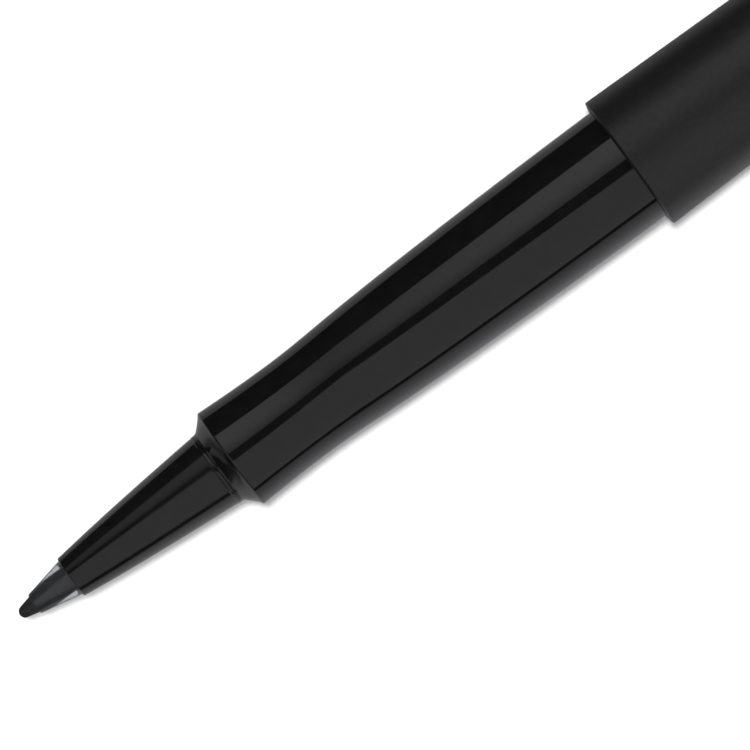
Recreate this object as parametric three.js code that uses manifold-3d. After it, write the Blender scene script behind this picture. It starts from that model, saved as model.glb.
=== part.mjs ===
// A fibre-tip pen lying on its side, with its cap pushed onto the tail.
//
// Millimetres, +Z up. The pen's axis runs along +X, from the nib to the crown of the cap. The
// barrel's shoulder, the rim of the cap and one long edge of the pocket clip touch the surface
// at Z = 0, and the origin is on that surface, in the middle of the pen's length and width.
//
// Places along the pen are measured from the tip of the nib, and places along the cap from its
// rim. Each round piece is turned from an outline of [along, radius] points, which runs along
// the outside towards the tail and comes back through the bore.

import * as THREE from 'three';
import { mergeVertices } from 'three/addons/utils/BufferGeometryUtils.js';
import Module from 'manifold-3d';

const wasm = await Module();
wasm.setup();

// ---- driving dimensions ----

const ROUND_SIDES = 32; // sides of a turned piece, a multiple of 4, so that one side faces down
const SMALL_SIDES = 20; // sides of the nib and of the breather tube
const SLIP = 0.05; // clearance in radius between turned pieces that fit one another
const FACE_GAP = 0.05; // clearance between two faces that meet end to end

const BARREL_RADIUS = 6.04; // at the shoulder, the widest place of the pen
const BARREL_TAPER = 0.016; // radius lost for each millimetre towards the tail
const PEN_LENGTH = 136.0; // tip of the nib to the end of the tail plug, without the cap
const CAP_LENGTH = 66.0; // rim to the end of the crown
const CAP_RIM_AT = 104.5; // where the rim of the cap sits when it is pushed onto the tail

const NIB_RADIUS = 0.75; // fibre rod
const NIB_TIP_RADIUS = 0.53; // radius of the rounded tip
const NIB_TIP_SLOPE = 0.23; // radius gained for each millimetre behind the rounded tip
const NIB_END = 42.0;

const GUARD_FRONT = 1.64; // the clear guard shows between here and the nose cone
const GUARD_FRONT_RADIUS = 0.94;
const GUARD_SLOPE = 0.208;
const GUARD_TAIL_RADIUS = 1.5;
const GUARD_END = 13.0;
const GUARD_SHOULDER_GAP = 0.08; // between the guard's shoulder and the front of the nose cone

const NOSE_FRONT = 5.12;
const NOSE_FRONT_RADIUS = 1.86;
const NOSE_BACK_RADIUS = 3.25;
const NOSE_BEAD_AT = 19.55; // a low bead behind the ogive
const NOSE_BEAD_RADIUS = 3.3;
const NOSE_BACK = 19.9;
const NOSE_SPIGOT_RADIUS = 2.7;
const NOSE_SPIGOT_END = 28.0;

const GRIP_FRONT = NOSE_BACK + 2 * FACE_GAP;
const GRIP_FACE_AT = 20.08; // where the flared front face starts, behind a short plain land
const GRIP_FACE_MIDDLE_AT = 20.86;
const GRIP_FACE_MIDDLE_RADIUS = 4.08;
const GRIP_EDGE_AT = 21.22; // where that face ends
const GRIP_EDGE_RADIUS = 4.54;
const GRIP_CORNER = 0.16; // rounding of its edge
const GRIP_WAIST_AT = 28.0;
const GRIP_WAIST_RADIUS = 4.34;
const GRIP_STEEPEST_AT = 32.6; // behind the waist
const GRIP_STEEPEST_RADIUS = 4.506;
const GRIP_STEEPEST_SLOPE = 0.062;
const GRIP_SWELL_AT = 45.0; // where the swell nearly levels out
const GRIP_SWELL_RADIUS = 4.97;
const GRIP_SWELL_SLOPE = 0.025;
const GRIP_REAR_RADIUS = 5.19;
const GRIP_SPIGOT_RADIUS = 4.9;
const GRIP_SPIGOT_END = 75.0;

const BARREL_FRONT = 61.15; // inner edge of the barrel's front face
const BARREL_SHOULDER = 61.4; // where the barrel reaches its full radius
const BARREL_END = 135.0;
const RIM_BORE_RADIUS = 5.36; // leaves a thin dark line around the grip section
const RIM_BORE_END = 62.2;

const PLUG_RADIUS = 3.75; // stem of the tail plug

const RESERVOIR_FRONT = 36.0;
const RESERVOIR_END = 126.0;
const RESERVOIR_RADIUS = 3.3;
const SLEEVE_WALL = 0.15;
const BREATHER_RADIUS = 0.45;
const BREATHER_BORE = 0.25;

const CAP_END_RADIUS = 5.5; // outside of the shell, at its crown end
const CAP_SHELL_END = 63.5;
const CAP_STEP_AT = 42.5; // the shell's bore narrows here, and the inner cap rests on the step
const CAP_STEP_RADIUS = 4.5;
const INNER_CAP_MOUTH_AT = 40.9;
const INNER_CAP_END = 62.7;

const CLIP_ROOT_WIDTH = 4.4;
const CLIP_LIFT = 0.7; // how high the clip's lower edge stays above the surface
const CLIP_TIP_WIDTH = 3.6;
const CLIP_THICKNESS = 1.15;
const CLIP_GAP = 2.1; // between the flat inside of the clip and the cap
const CLIP_TIP_AT = 23.0; // the clip's free end
const CLIP_BUMP_AT = 26.0;
const CLIP_ROOT_AT = 65.0; // the far side of the root
const CLIP_ROOT_THICKNESS = 2.4;
const CLIP_ROOT_DEPTH = 4.2; // the root reaches this close to the axis
const CLIP_PLAY = 0.15; // clearance around the root in its slot

// ---- geometry helpers ----

// The radius of the barrel's outside at a place along the pen.
function barrelRadius(along) {
  return BARREL_RADIUS - BARREL_TAPER * (along - BARREL_SHOULDER);
}

// The radius of the cap's outside at a place along the cap.
function capRadius(along) {
  return BARREL_RADIUS - ((BARREL_RADIUS - CAP_END_RADIUS) * along) / CAP_SHELL_END;
}

// A solid of revolution about +X, with the middle of one of its sides straight below the axis.
// The outline ends on the axis at both ends, or it is closed here.
function turned(outline, sides = ROUND_SIDES) {
  const points = outline.map(([along, radius]) => new THREE.Vector2(radius, along));
  const startsOnAxis = points[0].x === 0;
  if (!startsOnAxis) {
    points.push(points[0].clone());
  }
  const halfSide = Math.PI / sides;
  return new THREE.LatheGeometry(points, sides, halfSide).rotateZ(-Math.PI / 2);
}

// Points on a smooth curve through knots of [along, radius, slope], without the last one.
function flowing(knots, steps) {
  const points = [];
  for (let k = 0; k + 1 < knots.length; k += 1) {
    const [startAt, startRadius, startSlope] = knots[k];
    const [endAt, endRadius, endSlope] = knots[k + 1];
    const span = endAt - startAt;
    for (let i = 0; i < steps; i += 1) {
      const t = i / steps;
      const rise = t * t * (3 - 2 * t);
      const leave = t * (1 - t) * (1 - t) * span * startSlope;
      const arrive = t * t * (1 - t) * span * endSlope;
      points.push([startAt + t * span, startRadius + rise * (endRadius - startRadius) + leave - arrive]);
    }
  }
  return points;
}

// Points on an arc about [along, radius], between two angles in degrees from +X, ends included.
function rounded(along, radius, arcRadius, from, to, steps = 3) {
  const points = [];
  for (let i = 0; i <= steps; i += 1) {
    const angle = THREE.MathUtils.degToRad(from + ((to - from) * i) / steps);
    points.push([along + arcRadius * Math.cos(angle), radius + arcRadius * Math.sin(angle)]);
  }
  return points;
}

// The manifold solid of a closed geometry.
function solidOf(geometry) {
  const bare = geometry.clone();
  bare.deleteAttribute('normal');
  bare.deleteAttribute('uv');
  const merged = mergeVertices(bare, 1e-4);
  const vertProperties = new Float32Array(merged.attributes.position.array);
  const triVerts = new Uint32Array(merged.index.array);
  return new wasm.Manifold(new wasm.Mesh({ numProp: 3, vertProperties, triVerts }));
}

// The geometry of a manifold solid.
function geometryOf(solid) {
  const mesh = solid.getMesh();
  const geometry = new THREE.BufferGeometry();
  geometry.setAttribute('position', new THREE.BufferAttribute(mesh.vertProperties, 3));
  geometry.setIndex(new THREE.BufferAttribute(mesh.triVerts, 1));
  geometry.computeVertexNormals();
  return geometry;
}

// A geometry with another one cut out of it.
function cut(geometry, tool) {
  return geometryOf(solidOf(geometry).subtract(solidOf(tool)));
}

// ---- materials ----

const glossBlack = { color: 0x0b0b0c, roughness: 0.12, metalness: 0 };
const matteBlack = { color: 0x1c1c1d, roughness: 0.55, metalness: 0 };
const inkedFibre = { color: 0x141416, roughness: 0.9, metalness: 0 };
const whiteFibre = { color: 0xe6e3dc, roughness: 0.95, metalness: 0 };
const clearPlastic = { color: 0xd8dadd, roughness: 0.25, metalness: 0, transparent: true, opacity: 0.5 };
const film = { color: 0xdfe6ea, roughness: 0.2, metalness: 0, transparent: true, opacity: 0.5 };
const whitePlastic = { color: 0xdcdcd8, roughness: 0.4, metalness: 0 };

function piece(name, geometry, look) {
  const mesh = new THREE.Mesh(geometry, new THREE.MeshStandardMaterial(look));
  mesh.name = name;
  return mesh;
}

// ---- the writing end ----

// A rod of bonded fibre: rounded tip, short cone, then a plain rod that feeds from the reservoir.
function makeNib() {
  const tipAngle = 90 + THREE.MathUtils.radToDeg(Math.atan(NIB_TIP_SLOPE));
  const tip = rounded(NIB_TIP_RADIUS, 0, NIB_TIP_RADIUS, 180, tipAngle, 4);
  const [coneFrom, coneRadius] = tip[tip.length - 1];
  const coneEnd = coneFrom + (NIB_RADIUS - coneRadius) / NIB_TIP_SLOPE;
  const chamfer = 0.25;
  tip[0] = [0, 0];
  const outline = [
    ...tip,
    [coneEnd, NIB_RADIUS],
    [NIB_END - chamfer, NIB_RADIUS],
    [NIB_END, NIB_RADIUS - chamfer],
    [NIB_END, 0],
  ];
  return piece('nib', turned(outline, SMALL_SIDES), inkedFibre);
}

// A clear cone that backs the nib, with a tube that is pressed into the nose cone.
function makeNibGuard() {
  const bore = NIB_RADIUS + SLIP;
  const shoulder = NOSE_FRONT - GUARD_SHOULDER_GAP;
  const shoulderRadius = GUARD_FRONT_RADIUS + GUARD_SLOPE * (shoulder - GUARD_FRONT);
  const outline = [
    [GUARD_FRONT, bore],
    [GUARD_FRONT, GUARD_FRONT_RADIUS],
    [shoulder, shoulderRadius],
    [shoulder, GUARD_TAIL_RADIUS],
    [GUARD_END, GUARD_TAIL_RADIUS],
    [GUARD_END, bore],
  ];
  return piece('nib_guard', turned(outline, ROUND_SIDES), clearPlastic);
}

// The glossy ogive, ending in a low bead, with a spigot that plugs the grip section.
function makeNoseCone() {
  const beadEdge = 0.06;
  const guardBore = GUARD_TAIL_RADIUS + SLIP;
  const nibBore = NIB_RADIUS + 3 * SLIP;
  const rimEdge = 0.05;
  const frontSlope = 0.128;
  const backSlope = 0.08;
  const outline = [
    [NOSE_FRONT, guardBore],
    [NOSE_FRONT, NOSE_FRONT_RADIUS - rimEdge],
    ...flowing(
      [
        [NOSE_FRONT + rimEdge, NOSE_FRONT_RADIUS, frontSlope],
        [NOSE_BEAD_AT, NOSE_BACK_RADIUS, backSlope],
      ],
      9,
    ),
    [NOSE_BEAD_AT, NOSE_BACK_RADIUS],
    [NOSE_BEAD_AT + beadEdge, NOSE_BEAD_RADIUS],
    [NOSE_BACK - beadEdge, NOSE_BEAD_RADIUS],
    [NOSE_BACK, NOSE_BEAD_RADIUS - beadEdge],
    [NOSE_BACK, NOSE_SPIGOT_RADIUS],
    [NOSE_SPIGOT_END, NOSE_SPIGOT_RADIUS],
    [NOSE_SPIGOT_END, nibBore],
    [GUARD_END + FACE_GAP, nibBore],
    [GUARD_END + FACE_GAP, guardBore],
  ];
  return piece('nose_cone', turned(outline), glossBlack);
}

// The hourglass that the fingers hold, with a spigot behind it that plugs the barrel.
function makeGripSection() {
  const noseBore = NOSE_SPIGOT_RADIUS + SLIP;
  const nibChannel = 1.4;
  const reservoirBore = RESERVOIR_RADIUS + SLEEVE_WALL + 3 * SLIP;
  const reservoirStop = RESERVOIR_FRONT - 2 * FACE_GAP;
  const cornerAt = GRIP_EDGE_AT + GRIP_CORNER * Math.SQRT1_2;
  const cornerRadius = GRIP_EDGE_RADIUS - GRIP_CORNER;
  const faceSlope = 0.85; // of the flared face at its start
  const middleSlope = 1.08;
  const leadDrop = 0.02; // radius lost behind the rounded corner
  const leadSlope = -0.045;
  const rearSlope = 0.004;
  const shoulderEnd = RIM_BORE_END - 2 * FACE_GAP;
  const outline = [
    [GRIP_FRONT, noseBore],
    [GRIP_FRONT, NOSE_BEAD_RADIUS],
    ...flowing(
      [
        [GRIP_FACE_AT, NOSE_BEAD_RADIUS, faceSlope],
        [GRIP_FACE_MIDDLE_AT, GRIP_FACE_MIDDLE_RADIUS, middleSlope],
      ],
      3,
    ),
    [GRIP_FACE_MIDDLE_AT, GRIP_FACE_MIDDLE_RADIUS],
    ...rounded(cornerAt, cornerRadius, GRIP_CORNER, 140, 85, 3),
    ...flowing(
      [
        [GRIP_EDGE_AT + 2 * GRIP_CORNER, GRIP_EDGE_RADIUS - leadDrop, leadSlope],
        [GRIP_WAIST_AT, GRIP_WAIST_RADIUS, 0],
        [GRIP_STEEPEST_AT, GRIP_STEEPEST_RADIUS, GRIP_STEEPEST_SLOPE],
        [GRIP_SWELL_AT, GRIP_SWELL_RADIUS, GRIP_SWELL_SLOPE],
        [BARREL_FRONT, GRIP_REAR_RADIUS, rearSlope],
      ],
      5,
    ),
    [BARREL_FRONT, GRIP_REAR_RADIUS],
    [shoulderEnd, GRIP_REAR_RADIUS],
    [shoulderEnd, GRIP_SPIGOT_RADIUS],
    [GRIP_SPIGOT_END, GRIP_SPIGOT_RADIUS],
    [GRIP_SPIGOT_END, reservoirBore],
    [reservoirStop, reservoirBore],
    [reservoirStop, nibChannel],
    [NOSE_SPIGOT_END + FACE_GAP, nibChannel],
    [NOSE_SPIGOT_END + FACE_GAP, noseBore],
  ];
  return piece('grip_section', turned(outline), glossBlack);
}

// ---- the body ----

// The matte tube, widest at its shoulder.
function makeBarrel() {
  const wall = 1.05;
  const tailSocket = 9; // depth of the plain bore that takes the tail plug
  const spigotBore = GRIP_SPIGOT_RADIUS + 2 * SLIP;
  const spigotBoreEnd = GRIP_SPIGOT_END + 1;
  const stepEnd = spigotBoreEnd + 2;
  const frontBevel = 0.14;
  const edge = 0.13;
  const tailRounding = 0.5;
  const outline = [
    [BARREL_FRONT, RIM_BORE_RADIUS],
    [BARREL_FRONT + frontBevel, BARREL_RADIUS - edge],
    ...rounded(BARREL_SHOULDER, BARREL_RADIUS - edge, edge, 150, 90, 2),
    ...rounded(BARREL_END - tailRounding, barrelRadius(BARREL_END) - tailRounding, tailRounding, 90, 0),
    [BARREL_END, PLUG_RADIUS + SLIP],
    [BARREL_END - tailSocket, PLUG_RADIUS + SLIP],
    [stepEnd, barrelRadius(stepEnd) - wall],
    [spigotBoreEnd, spigotBore],
    [RIM_BORE_END, spigotBore],
    [RIM_BORE_END, RIM_BORE_RADIUS],
  ];
  return piece('barrel', turned(outline), matteBlack);
}

// The plug that closes the tail: a rounded head, and a hollow stem pressed into the barrel.
function makeEndPlug() {
  const headFrom = BARREL_END + FACE_GAP;
  const headRadius = 4.1;
  const headRounding = 0.6;
  const stemLength = 8;
  const stemEnd = BARREL_END - stemLength;
  const stemBore = 2.95;
  const stemChamfer = 0.3;
  const headDepth = 1.2; // solid material inside the barrel, ahead of the head
  const floor = BARREL_END - headDepth;
  const outline = [
    [floor, 0],
    [floor, stemBore],
    [stemEnd, stemBore],
    [stemEnd, PLUG_RADIUS - stemChamfer],
    [stemEnd + stemChamfer, PLUG_RADIUS],
    [headFrom, PLUG_RADIUS],
    [headFrom, headRadius],
    ...rounded(PEN_LENGTH - headRounding, headRadius - headRounding, headRounding, 60, 0),
    [PEN_LENGTH, 0],
  ];
  return piece('end_plug', turned(outline), glossBlack);
}

// The fibre core that holds the ink, with a socket for the nib and a groove for the breather.
function makeInkReservoir(breatherOffset) {
  const socketRadius = NIB_RADIUS + SLIP;
  const socketSpare = 0.5;
  const socketEnd = NIB_END + socketSpare;
  const outline = [
    [socketEnd, 0],
    [socketEnd, socketRadius],
    [RESERVOIR_FRONT, socketRadius],
    [RESERVOIR_FRONT, RESERVOIR_RADIUS],
    [RESERVOIR_END, RESERVOIR_RADIUS],
    [RESERVOIR_END, 0],
  ];
  const overshoot = 1;
  const grooveOutline = [
    [RESERVOIR_FRONT - overshoot, 0],
    [RESERVOIR_FRONT - overshoot, BREATHER_RADIUS + 2 * SLIP],
    [RESERVOIR_END + overshoot, BREATHER_RADIUS + 2 * SLIP],
    [RESERVOIR_END + overshoot, 0],
  ];
  const groove = turned(grooveOutline, SMALL_SIDES).translate(0, 0, breatherOffset);
  return piece('ink_reservoir', cut(turned(outline), groove), whiteFibre);
}

// The film wrapped around the reservoir.
function makeReservoirSleeve() {
  const inner = RESERVOIR_RADIUS + SLIP;
  const outer = inner + SLEEVE_WALL;
  const setBack = 0.3; // the film ends short of the fibre
  const from = RESERVOIR_FRONT + setBack;
  const to = RESERVOIR_END - setBack;
  return piece('reservoir_sleeve', turned([[from, inner], [from, outer], [to, outer], [to, inner]]), film);
}

// The thin tube that lets air past the reservoir.
function makeBreatherTube(breatherOffset) {
  const setBack = 1; // at the front
  const overhang = 0.6; // at the tail
  const from = RESERVOIR_FRONT + setBack;
  const to = RESERVOIR_END + overhang;
  const outline = [
    [from, BREATHER_BORE],
    [from, BREATHER_RADIUS],
    [to, BREATHER_RADIUS],
    [to, BREATHER_BORE],
  ];
  const tube = piece('breather_tube', turned(outline, SMALL_SIDES), whitePlastic);
  tube.position.z = breatherOffset;
  return tube;
}

// ---- the cap ----

// The slot that takes the root of the clip, cut across the crown and the end of the shell.
function clipSlot() {
  const inside = CLIP_ROOT_DEPTH - CLIP_PLAY;
  const outside = BARREL_RADIUS + 1;
  const from = CLIP_ROOT_AT - CLIP_ROOT_THICKNESS - CLIP_PLAY;
  const to = CLIP_ROOT_AT + CLIP_PLAY;
  const slot = new THREE.BoxGeometry(to - from, outside - inside, CLIP_ROOT_WIDTH + 2 * CLIP_PLAY);
  return slot.translate((from + to) / 2, (inside + outside) / 2, 0);
}

// The tapered shell, open at both ends.
function makeCapShell(clipTurn) {
  const rimEdge = 0.15;
  const mouthRadius = barrelRadius(CAP_RIM_AT) + SLIP;
  const mouthEdge = 0.1;
  const stepMouth = 4.94;
  const endEdge = 0.12;
  const outline = [
    [0, mouthRadius + mouthEdge],
    ...rounded(rimEdge, BARREL_RADIUS - rimEdge, rimEdge, 180, 90, 2),
    [CAP_SHELL_END - endEdge, capRadius(CAP_SHELL_END - endEdge)],
    [CAP_SHELL_END, CAP_END_RADIUS - endEdge],
    [CAP_SHELL_END, CAP_STEP_RADIUS],
    [CAP_STEP_AT, CAP_STEP_RADIUS],
    [CAP_STEP_AT, stepMouth],
    [mouthEdge, mouthRadius],
  ];
  return piece('cap_shell', cut(turned(outline), clipSlot().rotateX(clipTurn)), matteBlack);
}

// The liner that closes around the nose cone and keeps the nib wet.
function makeInnerCap() {
  const flangeRadius = 4.85;
  const flangeEnd = CAP_STEP_AT - FACE_GAP;
  const mouthBore = 3.45;
  const floorBore = 2.2;
  const wall = 0.65;
  const floor = INNER_CAP_END - wall;
  const outline = [
    [floor, 0],
    [floor, floorBore],
    [INNER_CAP_MOUTH_AT, mouthBore],
    [INNER_CAP_MOUTH_AT, flangeRadius],
    [flangeEnd, flangeRadius],
    [flangeEnd, mouthBore + wall],
    [INNER_CAP_END, floorBore + wall],
    [INNER_CAP_END, 0],
  ];
  return piece('inner_cap', turned(outline), whitePlastic);
}

// The crown that plugs the end of the shell, flat on its outer end.
function makeCapCrown(clipTurn) {
  const spigotRadius = CAP_STEP_RADIUS - SLIP;
  const spigotLength = 3.5;
  const spigotFrom = CAP_SHELL_END - spigotLength;
  const spigotBore = 3.75;
  const floorDepth = 0.3; // solid material inside the shell, ahead of the head
  const floor = CAP_SHELL_END - floorDepth;
  const headFrom = CAP_SHELL_END + 2 * FACE_GAP;
  const headRadius = CAP_END_RADIUS - 0.05;
  const headRounding = 1.1;
  const outline = [
    [floor, 0],
    [floor, spigotBore],
    [spigotFrom, spigotBore],
    [spigotFrom, spigotRadius],
    [headFrom, spigotRadius],
    [headFrom, headRadius],
    ...rounded(CAP_LENGTH - headRounding, headRadius - headRounding, headRounding, 90, 0, 5),
    [CAP_LENGTH, 0],
  ];
  return piece('cap_crown', cut(turned(outline), clipSlot().rotateX(clipTurn)), glossBlack);
}

// The clip seen from the side, along the cap and out from the axis.
function clipSideView(inside, outside) {
  const rootNear = CLIP_ROOT_AT - CLIP_ROOT_THICKNESS;
  const elbow = 2.2;
  const innerElbow = 1.2;
  const tipLip = 0.8;
  const bumpRadius = 1.3;
  const bumpGap = 0.12; // between the bump and the cap
  const bumpCentre = capRadius(CLIP_BUMP_AT) + bumpGap + bumpRadius;
  const view = new THREE.Shape();
  view.moveTo(CLIP_ROOT_AT, CLIP_ROOT_DEPTH);
  view.lineTo(CLIP_ROOT_AT, outside - elbow);
  view.absarc(CLIP_ROOT_AT - elbow, outside - elbow, elbow, 0, Math.PI / 2, false);
  view.lineTo(CLIP_TIP_AT + tipLip, outside);
  view.quadraticCurveTo(CLIP_TIP_AT, outside, CLIP_TIP_AT, outside - tipLip);
  view.lineTo(CLIP_BUMP_AT - bumpRadius, bumpCentre);
  view.absarc(CLIP_BUMP_AT, bumpCentre, bumpRadius, Math.PI, 1.75 * Math.PI, false);
  view.lineTo(CLIP_BUMP_AT + 2 * bumpRadius, inside);
  view.lineTo(rootNear - innerElbow, inside);
  view.absarc(rootNear - innerElbow, inside - innerElbow, innerElbow, Math.PI / 2, 0, true);
  view.lineTo(rootNear, CLIP_ROOT_DEPTH);
  return view;
}

// The clip seen from outside, along the cap and across the clip: it narrows to a round end.
function clipTopView() {
  const past = 1; // the view overshoots the root, where the side view ends the clip
  const rootHalf = CLIP_ROOT_WIDTH / 2;
  const tipHalf = CLIP_TIP_WIDTH / 2;
  const taperEnd = CLIP_ROOT_AT - CLIP_ROOT_THICKNESS;
  const view = new THREE.Shape();
  view.moveTo(CLIP_ROOT_AT + past, rootHalf);
  view.lineTo(taperEnd, rootHalf);
  view.lineTo(CLIP_TIP_AT + tipHalf, tipHalf);
  view.absarc(CLIP_TIP_AT + tipHalf, 0, tipHalf, Math.PI / 2, 1.5 * Math.PI, false);
  view.lineTo(taperEnd, -rootHalf);
  view.lineTo(CLIP_ROOT_AT + past, -rootHalf);
  return view;
}

// The pocket clip: a springy arm with a bump at its free end and a root held in the slot.
function makePocketClip(clipTurn, inside, outside) {
  const past = 1; // how far each extrusion overshoots the other
  const sideDepth = CLIP_ROOT_WIDTH + 2 * past;
  const side = new THREE.ExtrudeGeometry(clipSideView(inside, outside), {
    depth: sideDepth,
    curveSegments: 6,
    bevelEnabled: false,
  });
  side.translate(0, 0, -sideDepth / 2);
  const top = new THREE.ExtrudeGeometry(clipTopView(), {
    depth: outside + past,
    curveSegments: 6,
    bevelEnabled: false,
  });
  top.rotateX(-Math.PI / 2);
  const clip = geometryOf(solidOf(side).intersect(solidOf(top)));
  return piece('pocket_clip', clip.rotateX(clipTurn), matteBlack);
}

// ---- the assembly ----

const breatherOffset = RESERVOIR_RADIUS - BREATHER_RADIUS - 2 * SLIP;

const clipInside = capRadius(CLIP_BUMP_AT) + CLIP_GAP;
const clipOutside = clipInside + CLIP_THICKNESS;

// The axis lies above the surface by the barrel's radius, measured to the middle of a side.
const axisHeight = BARREL_RADIUS * Math.cos(Math.PI / ROUND_SIDES);

// The clip leans below the horizontal until the lower edge at its root is a little higher
// than the shoulder of the barrel. The upper edge there is the pen's widest reach to that side.
const edgeSide = CLIP_ROOT_WIDTH / 2;
const edgeReach = Math.hypot(clipOutside, edgeSide);
const edgeDepth = axisHeight - CLIP_LIFT;
const clipLean = Math.asin(edgeDepth / edgeReach) - Math.atan2(edgeSide, clipOutside);
const clipTurn = Math.PI + clipLean;
const clipSideways = clipOutside * Math.cos(clipLean) + edgeSide * Math.sin(clipLean);

const cap = new THREE.Group();
cap.add(makeCapShell(clipTurn));
cap.add(makeInnerCap());
cap.add(makeCapCrown(clipTurn));
cap.add(makePocketClip(clipTurn, clipInside, clipOutside));
cap.position.x = CAP_RIM_AT;

const pen = new THREE.Group();
pen.add(makeNib());
pen.add(makeNibGuard());
pen.add(makeNoseCone());
pen.add(makeGripSection());
pen.add(makeBarrel());
pen.add(makeEndPlug());
pen.add(makeInkReservoir(breatherOffset));
pen.add(makeReservoirSleeve());
pen.add(makeBreatherTube(breatherOffset));
pen.add(cap);

const postedLength = CAP_RIM_AT + CAP_LENGTH;
pen.position.set(-postedLength / 2, (clipSideways - axisHeight) / 2, axisHeight);

export default pen;
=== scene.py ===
"""A black fibre-tip pen on white, seen from straight above its axis with a long lens.

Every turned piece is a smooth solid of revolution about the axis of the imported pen. Places
along the pen are in millimetres from the tip of the nib, radii are in millimetres too, and
one function turns both into the metres of the row frame. The pocket clip is lofted.

The light is a studio table: a lit white floor under a soft key from nearly overhead. Four
cards that only reflections see draw the long bands on the glossy plastic: two soft boxes, the
glow of the table and a black flag. Towards both ends of the pen, reflections see a lit sky.
"""

import math

import bpy
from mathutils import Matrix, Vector


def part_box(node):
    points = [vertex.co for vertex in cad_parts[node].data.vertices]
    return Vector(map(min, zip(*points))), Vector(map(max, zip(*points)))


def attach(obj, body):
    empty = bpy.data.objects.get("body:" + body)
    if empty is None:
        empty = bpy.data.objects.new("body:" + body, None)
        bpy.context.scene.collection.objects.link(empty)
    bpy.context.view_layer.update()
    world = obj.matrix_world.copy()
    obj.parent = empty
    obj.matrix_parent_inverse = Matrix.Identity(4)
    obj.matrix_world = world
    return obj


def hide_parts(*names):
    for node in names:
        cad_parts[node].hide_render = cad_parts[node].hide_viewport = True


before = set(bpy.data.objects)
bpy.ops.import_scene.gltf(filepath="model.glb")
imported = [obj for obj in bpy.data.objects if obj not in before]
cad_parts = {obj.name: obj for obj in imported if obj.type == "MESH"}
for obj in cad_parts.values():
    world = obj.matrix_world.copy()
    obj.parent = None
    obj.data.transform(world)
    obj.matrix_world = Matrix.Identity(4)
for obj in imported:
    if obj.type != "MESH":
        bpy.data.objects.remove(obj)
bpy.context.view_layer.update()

MM = 0.001

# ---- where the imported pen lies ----

nib_low, nib_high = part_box("nib")
TIP_X = nib_low.x
AXIS_Y = (nib_low.y + nib_high.y) / 2
AXIS_Z = (nib_low.z + nib_high.z) / 2
CAD_SIDES = 32  # flat sides of a packed turned piece; the nib's 20 cost it 0.006 mm of radius
CAD_FLATTENING = math.cos(math.pi / CAD_SIDES)  # from its corners to the middle of a side


def along_of(x):
    """A place along the pen, in millimetres from the tip of the nib."""
    return (x - TIP_X) / MM


def reach(node):
    """Where a turned CAD node starts and ends along the pen, and its largest radius."""
    low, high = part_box(node)
    return along_of(low.x), along_of(high.x), (high.z - low.z) / 2 / MM / CAD_FLATTENING


# ---- driving dimensions, in millimetres ----

_, NIB_END, NIB_RADIUS = reach("nib")
GUARD_FRONT, GUARD_END, _ = reach("nib_guard")
NOSE_FRONT, NOSE_SPIGOT_END, NOSE_BEAD_RADIUS = reach("nose_cone")
_, GRIP_SPIGOT_END, GRIP_REAR_RADIUS = reach("grip_section")
BARREL_FRONT, BARREL_END, BARREL_RADIUS = reach("barrel")
PLUG_STEM_END, PEN_LENGTH, PLUG_HEAD_RADIUS = reach("end_plug")
CAP_RIM_AT, CAP_SHELL_END, _ = reach("cap_shell")
INNER_CAP_MOUTH, INNER_CAP_END, INNER_CAP_FLANGE = reach("inner_cap")
CROWN_SPIGOT_FROM, CAP_END, CROWN_RADIUS = reach("cap_crown")

SLIP = 0.05  # clearance in radius between turned pieces that fit one another
SPIGOT_ROUNDING = 0.3  # at the inner end of a spigot

NIB_TIP_RADIUS = 0.53  # radius of the rounded tip
NIB_TIP_SLOPE = 0.23  # radius gained for each millimetre behind the rounded tip

GUARD_FRONT_RADIUS = 0.94
GUARD_SLOPE = 0.208
GUARD_TAIL_RADIUS = 1.5

NOSE_FRONT_RADIUS = 1.86
NOSE_BACK_RADIUS = 3.25
NOSE_BEAD_AT = 19.55  # a low bead behind the ogive
NOSE_BACK = 19.9
NOSE_SPIGOT_RADIUS = 2.7

GRIP_LAND_RADIUS = NOSE_BEAD_RADIUS + 0.03  # a plain land, just proud of the bead
GRIP_FACE_AT = 20.08  # where the flared front face starts, behind the land
GRIP_FACE_MIDDLE_AT = 20.86
GRIP_FACE_MIDDLE_RADIUS = 4.08
GRIP_EDGE_AT = 21.22  # where that face ends
GRIP_EDGE_RADIUS = 4.54
GRIP_CORNER = 0.16  # rounding of its edge
GRIP_WAIST_AT = 28.0
GRIP_WAIST_RADIUS = 4.34
GRIP_STEEPEST_AT = 32.6  # behind the waist
GRIP_STEEPEST_RADIUS = 4.506
GRIP_SWELL_AT = 45.0  # where the swell nearly levels out
GRIP_SWELL_RADIUS = 4.97
GRIP_SPIGOT_RADIUS = 4.9

BARREL_SHOULDER = 61.4  # where the barrel reaches its full radius
BARREL_TAPER = 0.016  # radius lost for each millimetre towards the tail
RIM_BORE_RADIUS = 5.36  # leaves a thin dark line around the grip
RIM_BORE_END = 62.2
PLUG_RADIUS = 3.75  # stem of the tail plug

CAP_END_RADIUS = 5.5  # outside of the shell, at its crown end
CAP_STEP_AT = CAP_RIM_AT + 42.5  # the shell's bore narrows here
CAP_STEP_RADIUS = 4.5

ROUND_SIDES = 192  # sides of a turned piece
SMALL_SIDES = 96  # sides of the nib and its guard
SHARPEST_SMOOTH = math.radians(32)  # edges that turn more than this stay crisp
ON_AXIS = 1e-6  # an outline point with a smaller radius lies on the axis


def barrel_radius(along):
    """The radius of the barrel's outside at a place along the pen."""
    return BARREL_RADIUS - BARREL_TAPER * (along - BARREL_SHOULDER)


def cap_radius(along):
    """The radius of the cap's outside at a place along the pen."""
    share = (along - CAP_RIM_AT) / (CAP_SHELL_END - CAP_RIM_AT)
    return BARREL_RADIUS - (BARREL_RADIUS - CAP_END_RADIUS) * share


# ---- outlines ----


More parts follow.
